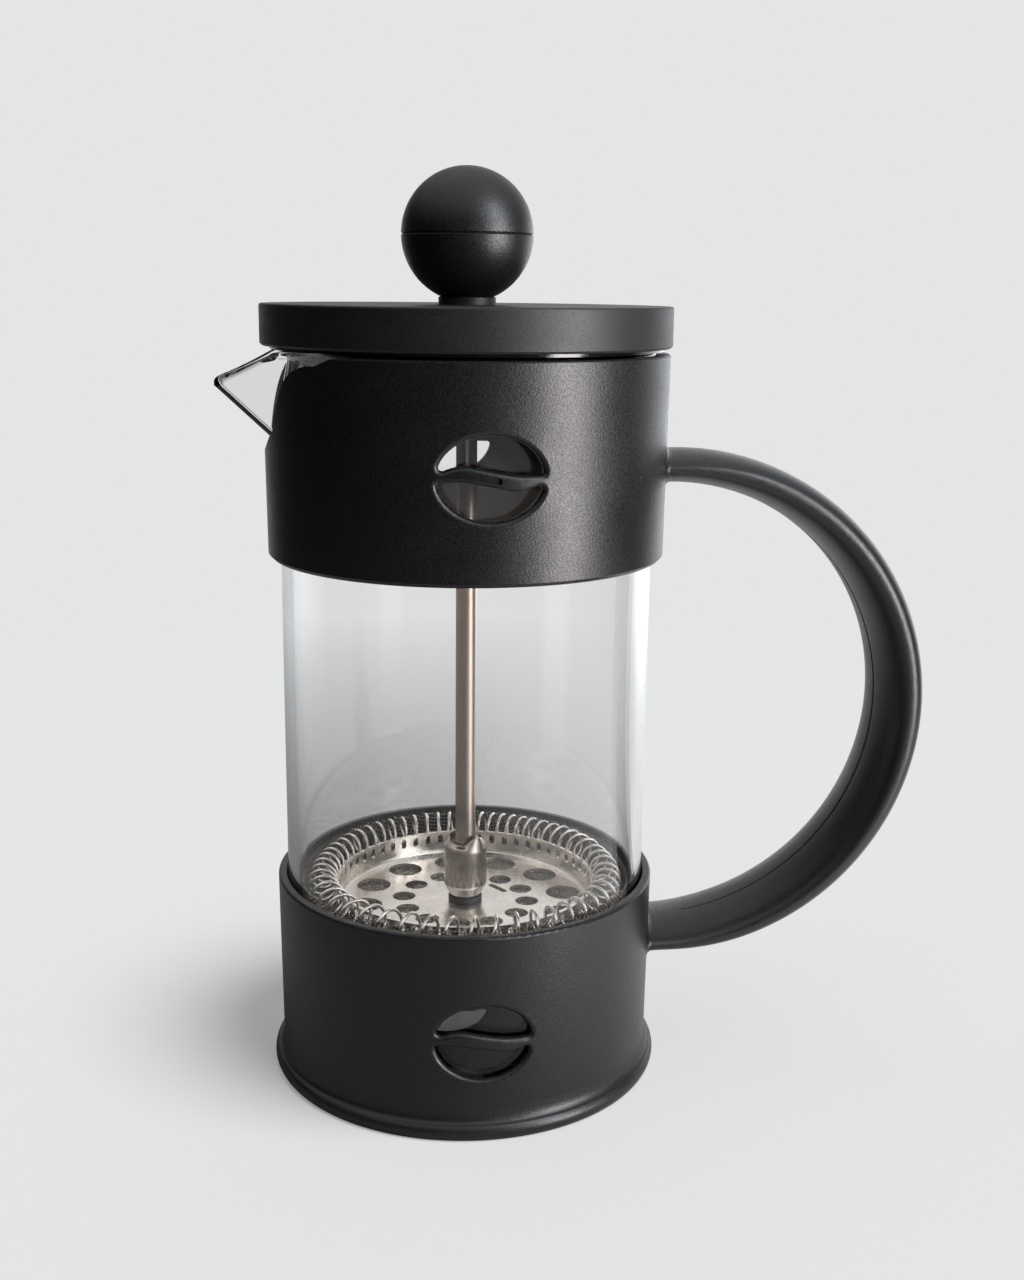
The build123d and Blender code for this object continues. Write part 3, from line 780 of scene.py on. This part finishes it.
ROOM = 0.012
ROOM_COLOUR = (0.93, 0.965, 1.0, 1.0)
CEILING = 0.90
CEILING_SPAN = (0.35, 0.9)
BACK_WALL = 1.25
BACK_WALL_SPAN = (0.25, 0.85)
WALL_LEFT = 0.03
WALL_RIGHT = 2.35
WALL_ACROSS_SPAN = (-0.6, 0.8)
WALL_FOOT_SPAN = (-0.45, -0.1)
WALL_TOP = 0.40
WALL_TOP_SPAN = (0.08, 0.25)
THROUGH_GLASS = 1.03
GLASS_EDGE = 0.80
DEEP_IN_GLASS = 3.5
WARM_ROOM = 0.20
WARM = (1.0, 0.78, 0.66, 1.0)


def build_world():
    """A plain pale surround. What surfaces mirror is a dim room with a pale ceiling and back wall."""
    world = bpy.data.worlds.new("studio")
    bpy.context.scene.world = world
    world.use_nodes = True
    tree = world.node_tree
    tree.nodes.clear()
    output = tree.nodes.new("ShaderNodeOutputWorld")
    path = tree.nodes.new("ShaderNodeLightPath")
    coords = tree.nodes.new("ShaderNodeTexCoord")
    parts = tree.nodes.new("ShaderNodeSeparateXYZ")
    tree.links.new(coords.outputs["Generated"], parts.inputs["Vector"])
    ceiling = remap(tree, parts.outputs["Z"], 0.0, CEILING, *CEILING_SPAN)
    behind = remap(tree, parts.outputs["Y"], 0.0, BACK_WALL, *BACK_WALL_SPAN)
    across = remap(tree, parts.outputs["X"], WALL_LEFT, WALL_RIGHT, *WALL_ACROSS_SPAN)
    foot = remap(tree, parts.outputs["Z"], 0.0, 1.0, *WALL_FOOT_SPAN)
    top = remap(tree, parts.outputs["Z"], 1.0, WALL_TOP, *WALL_TOP_SPAN)
    upright = calculate(tree, "MULTIPLY", foot, top)
    wall = calculate(tree, "MULTIPLY", calculate(tree, "MULTIPLY", behind, across), upright)
    total = calculate(tree, "ADD", calculate(tree, "MAXIMUM", ceiling, wall), ROOM)
    entered = calculate(tree, "GREATER_THAN", path.outputs["Transmission Depth"], 0.5)
    deep = calculate(tree, "GREATER_THAN", path.outputs["Transmission Depth"], DEEP_IN_GLASS)
    edge = calculate(tree, "MULTIPLY", calculate(tree, "SUBTRACT", entered, deep), GLASS_EDGE)

    def background(colour, strength):
        """A plain background of one colour, its strength from a value."""
        shader = tree.nodes.new("ShaderNodeBackground")
        shader.inputs["Color"].default_value = colour
        tree.links.new(strength, shader.inputs["Strength"])
        return shader.outputs["Background"]

    seen_strength = remap(tree, path.outputs["Is Transmission Ray"], 1.0, THROUGH_GLASS, 0.0, 1.0)
    seen = background(BACKDROP, seen_strength)
    room = background(ROOM_COLOUR, calculate(tree, "MAXIMUM", total, edge))
    warm = background(WARM, calculate(tree, "MULTIPLY", deep, WARM_ROOM))
    mirrored = tree.nodes.new("ShaderNodeAddShader")
    tree.links.new(room, mirrored.inputs[0])
    tree.links.new(warm, mirrored.inputs[1])
    mix = tree.nodes.new("ShaderNodeMixShader")
    tree.links.new(seen_directly(tree, path), mix.inputs["Fac"])
    tree.links.new(mirrored.outputs["Shader"], mix.inputs[1])
    tree.links.new(seen, mix.inputs[2])
    tree.links.new(mix.outputs["Shader"], output.inputs["Surface"])


VIEW_TURN = 6.0
AIM_HEIGHT = 0.09
FOCAL_LENGTH = 43.209
SENSOR_WIDTH = 36.0
NEAR_LIMIT = 0.01
EYE = (-0.03029, -0.28817, 0.15175)
PITCH = 0.2266
YAW = 0.03073
ROLL = 0.01035


def around(azimuth, elevation, distance):
    """A place at a distance from the press, its azimuth counted to the right from the viewer, in degrees."""
    turn, rise = math.radians(azimuth - 90.0 - VIEW_TURN), math.radians(elevation)
    flat = distance * math.cos(rise)
    return Vector((flat * math.cos(turn), flat * math.sin(turn), AIM_HEIGHT + distance * math.sin(rise)))


def add_lamp(name, kind, energy, place, target):
    """A light of one kind at a place, facing a point."""
    data = bpy.data.lights.new(name, kind)
    data.energy = energy
    light = bpy.data.objects.new(name, data)
    light.location = place
    light.rotation_euler = (target - place).to_track_quat("-Z", "Y").to_euler()
    bpy.context.scene.collection.objects.link(light)
    return light


def add_soft_box(name, energy, place, target_height, size, colour):
    """A soft rectangular light that faces a point on the press's axis."""
    light = add_lamp(name, "AREA", energy, place, Vector((0.0, 0.0, target_height)))
    light.data.shape = "RECTANGLE"
    light.data.size, light.data.size_y = size
    light.data.color = colour
    return light


def link_collection(name, state, names):
    """A collection that lets a light in on its objects, or keeps it off them."""
    linked = bpy.data.collections.new(name)
    for number, member in enumerate(names):
        linked.objects.link(bpy.data.objects[member])
        linked.collection_objects[number].light_linking.link_state = state
    return linked


def build_lights():
    """A cool and a warm window, a faint one for the glass alone, and a broad sun for the floor alone.

    The sun gives the floor the base's short soft shadow and no other.
    """
    windows = [
        add_soft_box("window", 5.4, around(56.0, 30.0, 0.85), 0.1, (0.28, 0.60), (0.89, 0.945, 1.0)),
        add_soft_box("window_low", 5.2, around(56.0, -3.0, 0.70), 0.06, (0.23, 0.40), (1.0, 0.94, 0.94)),
    ]
    streak = add_soft_box("streak", 0.16, around(56.0, -3.0, 0.69), 0.06, (0.20, 0.38), (1.0, 1.0, 1.0))
    floor_sun = add_lamp("floor_sun", "SUN", 6.5, around(60.0, 50.0, 1.0), Vector((0.0, 0.0, 0.0)))
    floor_sun.data.angle = math.radians(42.0)
    off_glass = link_collection("beyond_glass", "EXCLUDE", ["beaker", "floor"])
    for window in windows:
        window.light_linking.receiver_collection = off_glass
    streak.light_linking.receiver_collection = link_collection("on_glass", "INCLUDE", ["beaker"])
    floor_sun.light_linking.receiver_collection = link_collection("on_floor", "INCLUDE", ["floor"])
    shading = [frame["nodes"]["base_cup"].name]
    floor_sun.light_linking.blocker_collection = link_collection("floor_shade", "INCLUDE", shading)


def build_camera():
    """The camera at the viewer's eye, turned a little to the right, down and over."""
    flat = math.cos(PITCH)
    forward = Vector((math.sin(YAW) * flat, math.cos(YAW) * flat, -math.sin(PITCH)))
    right = Vector((math.cos(YAW), -math.sin(YAW), 0.0))
    up = right.cross(forward)
    rolled_right = right * math.cos(ROLL) + up * math.sin(ROLL)
    rolled_up = up * math.cos(ROLL) - right * math.sin(ROLL)
    turn = Matrix((rolled_right, rolled_up, -forward)).transposed()
    turn = Matrix.Rotation(math.radians(-VIEW_TURN), 3, "Z") @ turn
    data = bpy.data.cameras.new("camera")
    data.lens = FOCAL_LENGTH
    data.sensor_width = SENSOR_WIDTH
    data.clip_start = NEAR_LIMIT
    camera = bpy.data.objects.new("camera", data)
    camera.matrix_world = Matrix.Translation(EYE) @ turn.to_4x4()
    bpy.context.scene.collection.objects.link(camera)
    bpy.context.scene.camera = camera


build_floor()
build_world()
build_lights()
build_camera()
bpy.context.scene.view_settings.view_transform = "Standard"
